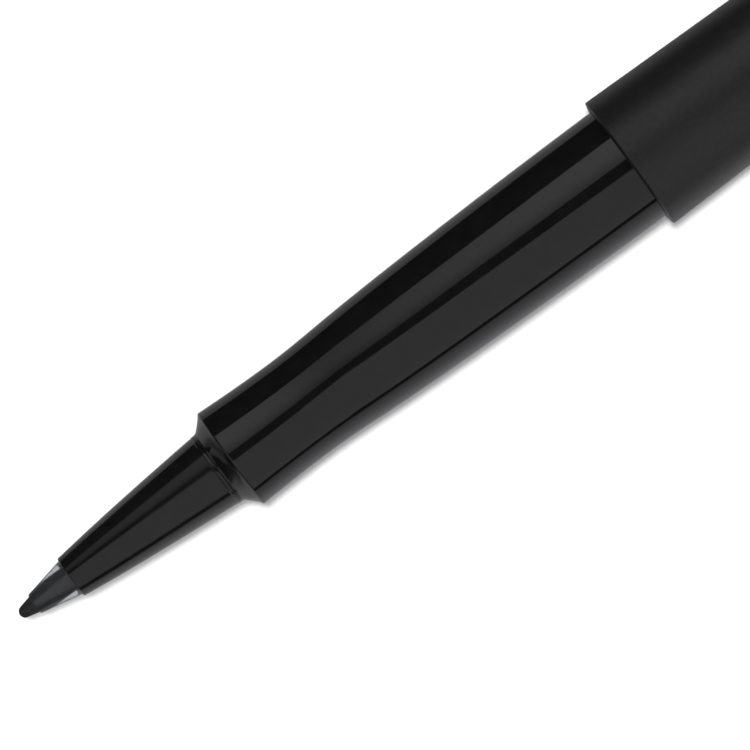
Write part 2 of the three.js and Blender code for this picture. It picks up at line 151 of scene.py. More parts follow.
def flowing(knots, steps):
    """Points on a smooth curve through knots of (along, radius, slope), in steps from knot to knot."""
    points = []
    for (start, start_radius, start_slope), (end, end_radius, end_slope) in zip(knots, knots[1:]):
        span = end - start
        for i in range(steps):
            t = i / steps
            rise = t * t * (3 - 2 * t)
            leave = t * (1 - t) * (1 - t) * span * start_slope
            arrive = t * t * (1 - t) * span * end_slope
            radius = start_radius + rise * (end_radius - start_radius) + leave - arrive
            points.append((start + t * span, radius))
    points.append(knots[-1][:2])
    return points


def softened(corners, steps=6):
    """A closed outline of (along, radius) or (along, radius, rounding), with its corners rounded."""
    points = []
    for i, corner in enumerate(corners):
        rounding = corner[2] if len(corner) > 2 else 0
        here = Vector(corner[:2])
        if rounding == 0:
            points.append(tuple(here))
            continue
        before = (Vector(corners[i - 1][:2]) - here).normalized()
        after = (Vector(corners[(i + 1) % len(corners)][:2]) - here).normalized()
        half_turn = (math.pi - before.angle(after)) / 2
        middle = (before + after).normalized()
        centre = here + middle * (rounding / math.cos(half_turn))
        for k in range(steps + 1):
            turn = half_turn * (2 * k / steps - 1)
            side = -1 if before.cross(after) > 0 else 1
            ray = -middle
            cos_turn, sin_turn = math.cos(turn * side), math.sin(turn * side)
            arm = Vector((ray.x * cos_turn - ray.y * sin_turn, ray.x * sin_turn + ray.y * cos_turn))
            points.append(tuple(centre + arm * rounding))
    return points


# ---- meshes ----


def add_object(name, data):
    """A new object in the scene, which shows a mesh, a light or a camera."""
    thing = bpy.data.objects.new(name, data)
    bpy.context.scene.collection.objects.link(thing)
    return thing


def shade(mesh):
    """Shades a mesh smoothly, apart from its sharp edges."""
    for polygon in mesh.polygons:
        polygon.use_smooth = True
    mesh.set_sharp_from_angle(angle=SHARPEST_SMOOTH)


def finish_mesh(name, vertices, faces):
    """A smoothly shaded object of the scene."""
    mesh = bpy.data.meshes.new(name)
    mesh.from_pydata(vertices, [], faces)
    mesh.validate()
    shade(mesh)
    return add_object(name, mesh)


def placed(along, out, turn):
    """A point of the row frame, from a place along the pen, a radius and an angle about it."""
    y = AXIS_Y + out * MM * math.cos(turn)
    z = AXIS_Z + out * MM * math.sin(turn)
    return (TIP_X + along * MM, y, z)


def turned(name, outline, sides=ROUND_SIDES):
    """A closed outline turned about the pen's axis. Points on the axis become single vertices."""
    vertices = []
    rings = []
    for along, radius in outline:
        if radius < ON_AXIS:
            rings.append([len(vertices)] * sides)
            vertices.append(placed(along, 0, 0))
            continue
        rings.append(list(range(len(vertices), len(vertices) + sides)))
        vertices.extend(placed(along, radius, 2 * math.pi * k / sides) for k in range(sides))
    faces = []
    for i, ring in enumerate(rings):
        following = rings[(i + 1) % len(rings)]
        if ring[0] == ring[1] and following[0] == following[1]:
            continue
        for k in range(sides):
            after = (k + 1) % sides
            corners = [ring[k], ring[after], following[after], following[k]]
            face = []
            for corner in corners:
                if corner not in face:
                    face.append(corner)
            faces.append(face)
    return finish_mesh(name, vertices, faces)


def cut_away(thing, tool):
    """Takes a tool object out of a thing, for good."""
    modifier = thing.modifiers.new("cut", "BOOLEAN")
    modifier.operation = "DIFFERENCE"
    modifier.solver = "EXACT"
    modifier.object = tool
    bpy.context.view_layer.update()
    graph = bpy.context.evaluated_depsgraph_get()
    result = bpy.data.meshes.new_from_object(thing.evaluated_get(graph))
    thing.modifiers.clear()
    thing.data = result
    bpy.data.objects.remove(tool)
    shade(result)


def stands_for(thing, node, body, material):
    """The piece takes the place of its CAD node, moves with its body and wears the material."""
    thing.data.materials.clear()
    thing.data.materials.append(material)
    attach(thing, body)
    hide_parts(node)


# ---- materials ----


def ranged(tree, source, start, end, low, high):
    """Maps a value from a range onto another one, in a node tree."""
    node = tree.nodes.new("ShaderNodeMapRange")
    names = ("From Min", "From Max", "To Min", "To Max")
    for name, value in zip(names, (start, end, low, high)):
        node.inputs[name].default_value = value
    tree.links.new(source, node.inputs["Value"])
    return node.outputs["Result"]


class Look:
    """A material made of a principled shader, with small helpers to feed its sockets."""

    def __init__(self, name):
        self.material = bpy.data.materials.new(name)
        self.material.use_nodes = True
        self.nodes = self.material.node_tree.nodes
        self.links = self.material.node_tree.links
        self.shader = self.nodes["Principled BSDF"]
        self.place = self.nodes.new("ShaderNodeTexCoord")

    def set(self, **values):
        """Sets sockets of the shader, whose names have underscores here in place of spaces."""
        for name, value in values.items():
            self.shader.inputs[name.replace("_", " ")].default_value = value

    def noise(self, scale, detail=2.0, stretch=(1, 1, 1)):
        """Noise in object space. Scale is in cells for each metre, before the stretch."""
        mapping = self.nodes.new("ShaderNodeMapping")
        mapping.inputs["Scale"].default_value = stretch
        self.links.new(self.place.outputs["Object"], mapping.inputs["Vector"])
        texture = self.nodes.new("ShaderNodeTexNoise")
        texture.inputs["Scale"].default_value = scale
        texture.inputs["Detail"].default_value = detail
        self.links.new(mapping.outputs["Vector"], texture.inputs["Vector"])
        return texture.outputs["Fac"]

    def spread(self, source, low, high, start=0.3, end=0.7):
        """Maps a noise output onto a range of values."""
        return ranged(self.material.node_tree, source, start, end, low, high)

    def blend(self, source, dark, light, start=0.3, end=0.7):
        """Mixes two colours by a noise output, and feeds the base colour."""
        mix = self.nodes.new("ShaderNodeMix")
        mix.data_type = "RGBA"
        mix.inputs["A"].default_value = (*dark, 1)
        mix.inputs["B"].default_value = (*light, 1)
        self.links.new(self.spread(source, 0, 1, start, end), mix.inputs["Factor"])
        self.links.new(mix.outputs["Result"], self.shader.inputs["Base Color"])

    def feed(self, source, name):
        """Links a value to a socket of the shader."""
        self.links.new(source, self.shader.inputs[name])

    def bump(self, source, height):
        """Raises the surface by a noise output. Its height is in metres."""
        bump = self.nodes.new("ShaderNodeBump")
        bump.inputs["Distance"].default_value = height
        bump.inputs["Strength"].default_value = 1.0
        self.links.new(source, bump.inputs["Height"])
        self.links.new(bump.outputs["Normal"], self.shader.inputs["Normal"])


def gloss_black(name, low, high):
    """Polished black plastic, whose roughness wanders a little between low and high."""
    look = Look(name)
    look.set(IOR=1.5, Specular_IOR_Level=0.5)
    look.blend(look.noise(900), (0.0032, 0.0032, 0.0034), (0.0042, 0.0042, 0.0044))
    look.feed(look.spread(look.noise(600, stretch=(0.3, 1, 1)), low, high), "Roughness")
    look.bump(look.noise(160, detail=1), 2e-6)
    return look.material


def matte_black():
    """Black plastic from a spark-eroded mould: fine grain that blurs what it reflects."""
    look = Look("matte black plastic")
    look.set(IOR=1.5)
    look.blend(look.noise(2500), (0.0045, 0.0045, 0.0048), (0.0068, 0.0068, 0.0072))
    look.feed(look.spread(look.noise(1200), 0.38, 0.44), "Roughness")
    look.bump(look.noise(9000, detail=3), 6e-6)
    return look.material


def inked_fibre():
    """Bonded fibre soaked with black ink, with the fibres along the nib."""
    look = Look("inked fibre")
    look.set(IOR=1.4)
    look.blend(look.noise(9000, stretch=(0.15, 1, 1)), (0.005, 0.005, 0.006), (0.013, 0.013, 0.014))
    look.feed(look.spread(look.noise(5000), 0.5, 0.75), "Roughness")
    look.bump(look.noise(14000, detail=4, stretch=(0.35, 1, 1)), 2.5e-5)
    return look.material


def clear_plastic():
    """Clear plastic with a slight milky haze in it."""
    look = Look("clear plastic")
    look.set(IOR=1.49, Transmission_Weight=0.97)
    look.blend(look.noise(700), (0.36, 0.37, 0.40), (0.40, 0.41, 0.44))
    look.feed(look.spread(look.noise(900), 0.10, 0.16), "Roughness")
    look.bump(look.noise(1500), 4e-6)
    return look.material


def white_fibre():
    """The undyed fibre bundle, streaked in light greys along its fibres."""
    look = Look("white fibre")
    look.blend(look.noise(4000, stretch=(0.1, 1, 1)), (0.52, 0.51, 0.50), (0.80, 0.79, 0.76))
    look.feed(look.spread(look.noise(2000), 0.85, 0.97), "Roughness")
    look.bump(look.noise(9000, stretch=(0.1, 1, 1)), 1.5e-5)
    return look.material


def clear_film():
    """The thin clear film around the reservoir."""
    look = Look("clear film")
    look.set(IOR=1.45, Transmission_Weight=0.9)
    look.blend(look.noise(500), (0.82, 0.85, 0.88), (0.88, 0.90, 0.92))
    look.feed(look.spread(look.noise(800), 0.08, 0.2), "Roughness")
    return look.material


def white_plastic():
    """Plain white moulded plastic, for the breather tube and the inner cap."""
    look = Look("white plastic")
    look.blend(look.noise(900), (0.70, 0.70, 0.68), (0.76, 0.76, 0.74))
    look.feed(look.spread(look.noise(1500), 0.35, 0.5), "Roughness")
    look.bump(look.noise(3000), 3e-6)
    return look.material


# ---- the writing end ----


def make_nib(material):
    """A rod of bonded fibre: a round tip, a short cone and then a plain rod."""
    end_rounding = 0.2
    steps = 14  # along the arc of the tip, which runs from the axis to where the cone starts
    cone_turn = math.pi / 2 + math.atan(NIB_TIP_SLOPE)
    tip = []
    for i in range(1, steps + 1):
        angle = math.pi + (cone_turn - math.pi) * i / steps
        along = NIB_TIP_RADIUS * (1 + math.cos(angle))
        tip.append((along, NIB_TIP_RADIUS * math.sin(angle)))
    cone_from, cone_radius = tip[-1]
    cone_end = cone_from + (NIB_RADIUS - cone_radius) / NIB_TIP_SLOPE
    corners = [
        (0, 0),
        *tip,
        (cone_end, NIB_RADIUS),
        (NIB_END, NIB_RADIUS, end_rounding),
        (NIB_END, 0),
    ]
    nib = turned("nib_rod", softened(corners), SMALL_SIDES)
    stands_for(nib, "nib", "pen", material)


def make_guard(material):
    """The clear cone behind the nib. Its bore lies just inside the rod, so no air gap shows."""
    lip_reach = 0.16  # how far the thin lip reaches past the CAD solid
    lip_thinning = 0.03
    lip_rounding = 0.08
    overlap = 0.01  # of the guard and the rod
    shoulder_gap = 0.01  # between the guard's shoulder and the nose cone
    lip = GUARD_FRONT - lip_reach
    bore = NIB_RADIUS - overlap
    shoulder = NOSE_FRONT - shoulder_gap
    shoulder_radius = GUARD_FRONT_RADIUS + GUARD_SLOPE * (shoulder - GUARD_FRONT)
    corners = [
        (lip, bore),
        (lip, GUARD_FRONT_RADIUS - lip_thinning, lip_rounding),
        (shoulder, shoulder_radius),
        (shoulder, GUARD_TAIL_RADIUS),
        (GUARD_END, GUARD_TAIL_RADIUS),
        (GUARD_END, bore),
    ]
    guard = turned("guard_cone", softened(corners), SMALL_SIDES)
    stands_for(guard, "nib_guard", "pen", material)


def make_nose_cone(material):
    """The ogive behind the guard, with a low bead where it meets the grip."""
    rim_edge = 0.05
    front_slope = 0.128
    back_slope = 0.08
    steps = 24
    bead_step = 0.07  # the length over which the bead rises, and the same again ahead of it
    profile_rounding = 0.03  # where the ogive ends, ahead of the bead
    foot_rounding = 0.02  # where the bead starts to rise
    bead_rounding = 0.05
    back_rounding = 0.06
    guard_bore = GUARD_TAIL_RADIUS + SLIP
    nib_bore = NIB_RADIUS + 3 * SLIP
    floor = GUARD_END + SLIP
    profile = flowing(
        [
            (NOSE_FRONT + rim_edge, NOSE_FRONT_RADIUS, front_slope),
            (NOSE_BEAD_AT - bead_step, NOSE_BACK_RADIUS, back_slope),
        ],
        steps,
    )
    corners = [
        (NOSE_FRONT, guard_bore),
        (NOSE_FRONT, NOSE_FRONT_RADIUS - rim_edge),
        *profile[:-1],
        (NOSE_BEAD_AT - bead_step, NOSE_BACK_RADIUS, profile_rounding),
        (NOSE_BEAD_AT, NOSE_BACK_RADIUS, foot_rounding),
        (NOSE_BEAD_AT + bead_step, NOSE_BEAD_RADIUS, bead_rounding),
        (NOSE_BACK, NOSE_BEAD_RADIUS, back_rounding),
        (NOSE_BACK, NOSE_SPIGOT_RADIUS),
        (NOSE_SPIGOT_END, NOSE_SPIGOT_RADIUS, SPIGOT_ROUNDING),
        (NOSE_SPIGOT_END, nib_bore),
        (floor, nib_bore),
        (floor, guard_bore),
    ]
    nose = turned("nose_ogive", softened(corners))
    stands_for(nose, "nose_cone", "pen", material)


def make_grip(material):
    """The hourglass that the fingers hold, with a short flared front face."""
    joint_gap = 0.02  # the dark line between nose and grip
    land_rounding = 0.05
    face_slopes = (0.85, 1.08, 1.25)  # the flare steepens outwards
    face_steps = 6
    lead_drop = 0.02  # radius lost behind the rounded corner
    lead_slope = -0.045
    steepest_slope = 0.062
    swell_slope = 0.025
    rear_slope = 0.004
    steps = 28
    nib_channel = 1.4
    reservoir_bore = 3.6
    reservoir_stop = 35.9
    front = NOSE_BACK + joint_gap
    nose_bore = NOSE_SPIGOT_RADIUS + SLIP
    channel_from = NOSE_SPIGOT_END + SLIP
    shoulder_end = RIM_BORE_END - 2 * SLIP
    face = flowing(
        [
            (GRIP_FACE_AT, GRIP_LAND_RADIUS, face_slopes[0]),
            (GRIP_FACE_MIDDLE_AT, GRIP_FACE_MIDDLE_RADIUS, face_slopes[1]),
            (GRIP_EDGE_AT, GRIP_EDGE_RADIUS, face_slopes[2]),
        ],
        face_steps,
    )
    profile = flowing(
        [
            (GRIP_EDGE_AT + 2 * GRIP_CORNER, GRIP_EDGE_RADIUS - lead_drop, lead_slope),
            (GRIP_WAIST_AT, GRIP_WAIST_RADIUS, 0),
            (GRIP_STEEPEST_AT, GRIP_STEEPEST_RADIUS, steepest_slope),
            (GRIP_SWELL_AT, GRIP_SWELL_RADIUS, swell_slope),
            (BARREL_FRONT, GRIP_REAR_RADIUS, rear_slope),
        ],
        steps,
    )
    corners = [
        (front, nose_bore),
        (front, GRIP_LAND_RADIUS, land_rounding),
        *face[:-1],
        (GRIP_EDGE_AT, GRIP_EDGE_RADIUS, GRIP_CORNER),
        *profile,
        (shoulder_end, GRIP_REAR_RADIUS),
        (shoulder_end, GRIP_SPIGOT_RADIUS),
        (GRIP_SPIGOT_END, GRIP_SPIGOT_RADIUS, SPIGOT_ROUNDING),
        (GRIP_SPIGOT_END, reservoir_bore),
        (reservoir_stop, reservoir_bore),
        (reservoir_stop, nib_channel),
        (channel_from, nib_channel),
        (channel_from, nose_bore),
    ]
    grip = turned("grip_hourglass", softened(corners))
    stands_for(grip, "grip_section", "pen", material)


# ---- the body ----


def make_barrel(material):
    """The matte tube, whose front face stands around the grip with a thin dark gap."""
    wall = 1.05
    rim_rounding = 0.04
    front_bevel = 0.16
    shoulder_rounding = 0.12
    tail_rounding = 0.5
    socket_depth = 9  # of the plain bore that takes the tail plug
    spigot_bore = GRIP_SPIGOT_RADIUS + 2 * SLIP
    spigot_bore_end = GRIP_SPIGOT_END + 1
    step_end = spigot_bore_end + 2
    socket_from = BARREL_END - socket_depth
    corners = [
        (BARREL_FRONT, RIM_BORE_RADIUS, rim_rounding),
        (BARREL_FRONT + front_bevel, BARREL_RADIUS, shoulder_rounding),
        (BARREL_END, barrel_radius(BARREL_END), tail_rounding),
        (BARREL_END, PLUG_RADIUS + SLIP),
        (socket_from, PLUG_RADIUS + SLIP),
        (step_end, barrel_radius(step_end) - wall),
        (spigot_bore_end, spigot_bore),
        (RIM_BORE_END, spigot_bore),
        (RIM_BORE_END, RIM_BORE_RADIUS),
    ]
    barrel = turned("barrel_tube", softened(corners))
    stands_for(barrel, "barrel", "pen", material)


def make_plug(material):
    """The plug that closes the tail."""
    head_depth = 1.2  # solid material inside the barrel, ahead of the head
    head_rounding = 0.55
    head_edge = 0.08  # rounding where the head overhangs the barrel
    floor_rounding = 0.2
    stem_bore = 2.95
    stem_rounding = 0.3
    head_from = BARREL_END + SLIP
    floor = BARREL_END - head_depth
    corners = [
        (floor, 0),
        (floor, stem_bore, floor_rounding),
        (PLUG_STEM_END, stem_bore),
        (PLUG_STEM_END, PLUG_RADIUS, stem_rounding),
        (head_from, PLUG_RADIUS),
        (head_from, PLUG_HEAD_RADIUS, head_edge),
        (PEN_LENGTH, PLUG_HEAD_RADIUS, head_rounding),
        (PEN_LENGTH, 0),
    ]
    plug = turned("tail_plug", softened(corners))
    stands_for(plug, "end_plug", "pen", material)


# ---- the cap ----

clip_low, clip_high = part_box("pocket_clip")
CLIP_TIP_AT = along_of(clip_low.x)
CLIP_ROOT_AT = along_of(clip_high.x)
CLIP_ROOT_THICKNESS = 2.4
CLIP_ROOT_DEPTH = 4.2  # the root reaches this close to the axis
CLIP_PLAY = 0.15  # clearance around the root in its slot
CLIP_ROOT_WIDTH = 4.4
CLIP_TIP_WIDTH = 3.6
CLIP_THICKNESS = 1.15
CLIP_GAP = 2.1  # between the flat inside of the clip and the cap
CLIP_BUMP_AT = CLIP_TIP_AT + 3.0
CLIP_INSIDE = cap_radius(CLIP_BUMP_AT) + CLIP_GAP
CLIP_OUTSIDE = CLIP_INSIDE + CLIP_THICKNESS
CLIP_LIFT = 0.7  # how high the clip's lower edge stays above the table

# The clip leans below the horizontal, until the lower edge at its root is that high.
edge_reach = math.hypot(CLIP_OUTSIDE, CLIP_ROOT_WIDTH / 2)
edge_depth = AXIS_Z / MM - CLIP_LIFT
CLIP_LEAN = math.asin(edge_depth / edge_reach) - math.atan2(CLIP_ROOT_WIDTH / 2, CLIP_OUTSIDE)
CLIP_TURN = math.pi + CLIP_LEAN


def from_clip(along, out, side):
    """A point of the row frame, from a place along the pen, out towards the clip and across it."""
    radius = math.hypot(out, side)
    return placed(along, radius, CLIP_TURN + math.atan2(side, out))


def clip_slot():
    """The block that is cut out of shell and crown for the root of the clip."""
    alongs = (CLIP_ROOT_AT - CLIP_ROOT_THICKNESS - CLIP_PLAY, CLIP_ROOT_AT + CLIP_PLAY)
    outs = (CLIP_ROOT_DEPTH - CLIP_PLAY, BARREL_RADIUS + 1)
    half = CLIP_ROOT_WIDTH / 2 + CLIP_PLAY
    sides = (-half, half)
    vertices = [
        from_clip(along, out, side) for along in alongs for out in outs for side in sides
    ]
    faces = [(0, 1, 3, 2), (4, 6, 7, 5), (0, 4, 5, 1), (2, 3, 7, 6), (0, 2, 6, 4), (1, 5, 7, 3)]
    return finish_mesh("slot", vertices, faces)


def make_cap_shell(material):
    """The tapered shell of the cap, open at both ends and slotted for the clip."""
    mouth_rounding = 0.1
    rim_rounding = 0.18
    end_rounding = 0.12
    step_mouth = 4.94  # radius of the bore just ahead of its step
    mouth = barrel_radius(CAP_RIM_AT) + SLIP
    corners = [
        (CAP_RIM_AT, mouth, mouth_rounding),
        (CAP_RIM_AT, BARREL_RADIUS, rim_rounding),
        (CAP_SHELL_END, CAP_END_RADIUS, end_rounding),
        (CAP_SHELL_END, CAP_STEP_RADIUS),
        (CAP_STEP_AT, CAP_STEP_RADIUS),
        (CAP_STEP_AT, step_mouth),
    ]
    shell = turned("cap_tube", softened(corners))
    cut_away(shell, clip_slot())
    stands_for(shell, "cap_shell", "cap", material)


def make_inner_cap(material):
    """The liner that closes around the nose cone."""
    wall = 0.65
    mouth_bore = 3.45
    floor_bore = 2.2
    floor_rounding = 0.2
    mouth_rounding = 0.15
    flange_rounding = 0.1
    floor = INNER_CAP_END - wall
    flange_end = CAP_STEP_AT - SLIP
    corners = [
        (floor, 0),
        (floor, floor_bore, floor_rounding),
        (INNER_CAP_MOUTH, mouth_bore, mouth_rounding),
        (INNER_CAP_MOUTH, INNER_CAP_FLANGE, flange_rounding),
        (flange_end, INNER_CAP_FLANGE),
        (flange_end, mouth_bore + wall),
        (INNER_CAP_END, floor_bore + wall, floor_rounding),
        (INNER_CAP_END, 0),
    ]
    liner = turned("cap_liner", softened(corners))
    stands_for(liner, "inner_cap", "cap", material)


def make_crown(material):
    """The crown that plugs the end of the cap."""
    spigot_radius = CAP_STEP_RADIUS - SLIP
    spigot_bore = 3.75
    spigot_rounding = 0.15
    floor_depth = 0.3  # solid material inside the shell, ahead of the head
    head_rounding = 1.08
    head_edge = 0.08  # rounding where the head overhangs the shell
    head_from = CAP_SHELL_END + 2 * SLIP
    floor = CAP_SHELL_END - floor_depth
    corners = [
        (floor, 0),
        (floor, spigot_bore),
        (CROWN_SPIGOT_FROM, spigot_bore),
        (CROWN_SPIGOT_FROM, spigot_radius, spigot_rounding),
        (head_from, spigot_radius),
        (head_from, CROWN_RADIUS, head_edge),
        (CAP_END, CROWN_RADIUS, head_rounding),
        (CAP_END, 0),
    ]
    crown = turned("cap_crown_disc", softened(corners, steps=10))
    cut_away(crown, clip_slot())
    stands_for(crown, "cap_crown", "cap", material)


def clip_path():
    """Pairs of points on the inside and the outside of the clip, from its tip to its root."""
    elbow = 2.2
    inner_elbow = 1.2
    bump_gap = 0.12  # between the bump and the cap
    bump_depth = CLIP_INSIDE - cap_radius(CLIP_BUMP_AT) - bump_gap
    bump_length = 2.2
    near = CLIP_ROOT_AT - CLIP_ROOT_THICKNESS
    arm_end = near - inner_elbow
    steps = 60
    crowding = 1.6  # sections lie closer together towards the tip
    pairs = []
    for i in range(steps + 1):
        along = CLIP_TIP_AT + (arm_end - CLIP_TIP_AT) * (i / steps) ** crowding
        away = min(1, abs(along - CLIP_BUMP_AT) / bump_length)
        bump = bump_depth * (0.5 + 0.5 * math.cos(math.pi * away))
        pairs.append(((along, CLIP_INSIDE - bump), (along, CLIP_OUTSIDE)))
    turns = 12
    for i in range(1, turns + 1):
        angle = math.pi / 2 * (1 - i / turns)
        inner = (
            arm_end + inner_elbow * math.cos(angle),
            CLIP_INSIDE - inner_elbow + inner_elbow * math.sin(angle),
        )
        outer = (
            CLIP_ROOT_AT - elbow + elbow * math.cos(angle),
            CLIP_OUTSIDE - elbow + elbow * math.sin(angle),
        )
        pairs.append((inner, outer))
    pairs.append(((near, CLIP_ROOT_DEPTH), (CLIP_ROOT_AT, CLIP_ROOT_DEPTH)))
    return pairs


def rounded_square(angle):
    """A point across and deep on a superellipse of half width 1, which is nearly a square."""
    crispness = 5.0
    across, deep = math.cos(angle), math.sin(angle)
    power = 2 / crispness
    return math.copysign(abs(across) ** power, across), math.copysign(abs(deep) ** power, deep)


def make_clip(material):
    """The pocket clip: rounded-rectangle sections lofted from its round tip to its root."""
    around = 32  # points of a section
    near = CLIP_ROOT_AT - CLIP_ROOT_THICKNESS
    tip_round = CLIP_TIP_WIDTH / 2
    tip_bluntness = 6  # how late the arm loses its thickness towards the tip
    least_width = 0.02  # shares of the full width and thickness that the tip keeps
    least_depth = 0.3
    pairs = clip_path()
    vertices = []
    for inner, outer in pairs:
        inner, outer = Vector(inner), Vector(outer)
        middle, half_depth = (inner + outer) / 2, (outer - inner) / 2
        share = min(1, (inner.x - CLIP_TIP_AT) / (near - CLIP_TIP_AT))
        half_width = (CLIP_TIP_WIDTH + (CLIP_ROOT_WIDTH - CLIP_TIP_WIDTH) * share) / 2
        into = min(1, (inner.x - CLIP_TIP_AT) / tip_round)
        taper = math.sqrt(max(0, 1 - (1 - into) ** 2))
        flatter = max(0, 1 - (1 - into) ** tip_bluntness) ** (1 / tip_bluntness)
        for k in range(around):
            across, deep = rounded_square(2 * math.pi * (k + 0.5) / around)
            spot = middle + half_depth * (deep * max(flatter, least_depth))
            side = across * half_width * max(taper, least_width)
            vertices.append(from_clip(spot.x, spot.y, side))
    faces = []
    for i in range(len(pairs) - 1):
        for k in range(around):
            after = (k + 1) % around
            low, high = i * around, (i + 1) * around
            faces.append((low + k, high + k, high + after, low + after))
    faces.append(tuple(range(around)))
    last = (len(pairs) - 1) * around
    faces.append(tuple(last + k for k in reversed(range(around))))
    clip = finish_mesh("clip_arm", vertices, faces)
    stands_for(clip, "pocket_clip", "clip", material)


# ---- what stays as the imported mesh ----


def dress(node, material):
    """Gives a CAD node that keeps its own mesh its material."""
    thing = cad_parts[node]
    thing.data.materials.clear()
    thing.data.materials.append(material)


# ---- the studio ----

CAMERA_HEIGHT = 0.885  # above the pen's axis, in metres
VIEW_WIDTH = 0.0606  # what the camera sees across, at the pen's axis, in metres
VIEW_ALONG = 34.6  # the middle of the view, which the camera stands above
VIEW_ASIDE = -1.5
PEN_TURN = math.radians(36.55)  # of the pen in the view, up from the horizontal

TABLE_LEVEL = -AXIS_Z / MM  # below the axis, in millimetres
COOL_WHITE = (0.985, 0.985, 1.02)


def overhead(along, aside, height):
    """A point of the studio: along the pen, aside to +Y and above the axis, in millimetres."""
    return Vector((TIP_X + along * MM, AXIS_Y + aside * MM, AXIS_Z + height * MM))


def at_angle(along, zenith, distance):
    """A point at an angle from straight above the axis, leaning to +Y, in degrees."""
    lean = math.radians(zenith)
    return overhead(along, distance * math.sin(lean), distance * math.cos(lean))


def card(name, rows, tint=(1, 1, 1)):
    """A glowing card that only reflections see. Its rows hold pairs of a point and a radiance."""
    columns = len(rows[0])
    points = [tuple(point) for row in rows for point, _ in row]
    faces = [
        (r * columns + c, r * columns + c + 1, (r + 1) * columns + c + 1, (r + 1) * columns + c)
        for r in range(len(rows) - 1)
        for c in range(columns - 1)
    ]
    mesh = bpy.data.meshes.new(name)
    mesh.from_pydata(points, [], faces)
    glow = mesh.attributes.new("glow", "FLOAT", "POINT")
    glow.data.foreach_set("value", [radiance for row in rows for _, radiance in row])
    material = bpy.data.materials.new(name)
    material.use_nodes = True
    nodes, links = material.node_tree.nodes, material.node_tree.links
    nodes.remove(nodes["Principled BSDF"])
    emission = nodes.new("ShaderNodeEmission")
    emission.inputs["Color"].default_value = (*tint, 1)
    source = nodes.new("ShaderNodeAttribute")
    source.attribute_name = "glow"
    links.new(source.outputs["Fac"], emission.inputs["Strength"])
    links.new(emission.outputs["Emission"], nodes["Material Output"].inputs["Surface"])
    mesh.materials.append(material)
    thing = add_object(name, mesh)
    thing.visible_camera = False
    thing.visible_diffuse = False
    thing.visible_transmission = False
    thing.visible_volume_scatter = False
    thing.visible_shadow = False


def left_card():
    """The soft box beyond the pen. It is brighter towards the tail, and darker at its near edge."""
    height = 400
    distance = 750
    near_edge = ((-160, 297), (-15, 105), (60, 73), (250, -11))  # along the pen and aside
    far_edge = ((-160, 70), (-30, 59.5), (60, 58.3), (250, 60))  # along the pen and zenith angle
    glows = (0.3, 0.5, 0.84, 1.35)  # along the pen
    # a share of the way from the near edge to the far one, and the factor on the glow there
    near_fade = ((0, 0.55), (0.04, 0.6), (0.13, 0.76), (0.24, 0.93), (0.37, 1.0))
    far_fade = ((0.55, 1.0), (1, 0.93))
    near = [overhead(along, aside, height) for along, aside in near_edge]
    far = [at_angle(along, zenith, distance) for along, zenith in far_edge]
    rows = []
    for share, factor in near_fade + far_fade:
        rows.append([(a.lerp(b, share), glow * factor) for a, b, glow in zip(near, far, glows)])
    card("left card", rows, COOL_WHITE)


def right_card():
    """The large soft box on the near side, which reaches down almost to the horizon."""
    height = 250
    distance = 500
    glow = 0.56
    near_edge = ((-160, 181), (10, -10.3), (60, -45.3), (250, -179))  # along the pen and aside
    far_edge = ((-160, -66), (0, -84.2), (60, -84.7), (250, -84.7))  # along and zenith angle
    near = [overhead(along, aside, height) for along, aside in near_edge]
    far = [at_angle(along, zenith, distance) for along, zenith in far_edge]
    card("right card", [[(point, glow) for point in row] for row in (near, far)])


def table_glow():
    """What the glossy plastic reflects of the table, as listed radiances.

    It is darkest ahead of the nib, brightest beside the nose on the near side, and dimmer again
    beyond the pen.
    """
    columns = (-900, -110, -60, -35, -10, 0, 8, 22, 900)  # along the pen
    table = (  # a place aside, and the radiance there at each column
        (400, (0.0, 0.3, 0.45, 0.45, 0.45, 0.45, 0.45, 0.3, 0.3)),
        (60, (0.1, 0.3, 0.45, 0.45, 0.45, 0.45, 0.45, 0.3, 0.3)),
        (26, (0.1, 0.3, 0.4, 0.42, 0.45, 0.45, 0.45, 0.32, 0.32)),
        (17, (0.1, 0.28, 0.24, 0.12, 0.18, 0.25, 0.55, 0.32, 0.32)),
        (5, (0.1, 0.28, 0.22, 0.15, 0.15, 0.3, 0.5, 0.32, 0.32)),
        (-5, (0.0, 0.12, 0.1, 0.1, 0.15, 0.5, 0.5, 0.45, 0.45)),
        (-9, (0.0, 0.05, 0.05, 0.08, 0.12, 0.55, 0.6, 0.5, 0.5)),
        (-12, (0.0, 0.05, 0.05, 0.08, 0.12, 0.5, 0.65, 0.65, 0.65)),
        (-17, (0.0, 0.05, 0.08, 0.1, 0.45, 0.7, 0.7, 0.66, 0.66)),
        (-22, (0.0, 0.05, 0.1, 0.4, 0.8, 0.75, 0.7, 0.62, 0.62)),
        (-70, (0.0, 0.1, 0.3, 0.45, 0.5, 0.5, 0.5, 0.46, 0.46)),
        (-200, (0.0, 0.3, 0.45, 0.45, 0.43, 0.43, 0.43, 0.43, 0.43)),
    )
    rows = []
    for aside, glows in table:
        points = [overhead(along, aside, TABLE_LEVEL) for along in columns]
        rows.append(list(zip(points, glows)))
    card("table glow", rows, COOL_WHITE)


def flag():
    """A black card that stands beside the pen on its far side, and hides the table behind it."""
    aside = 20
    top = 14
    rows = []
    for along in (-20, 400):
        rows.append([(overhead(along, aside, height), 0.0) for height in (TABLE_LEVEL, top)])
    card("flag", rows)


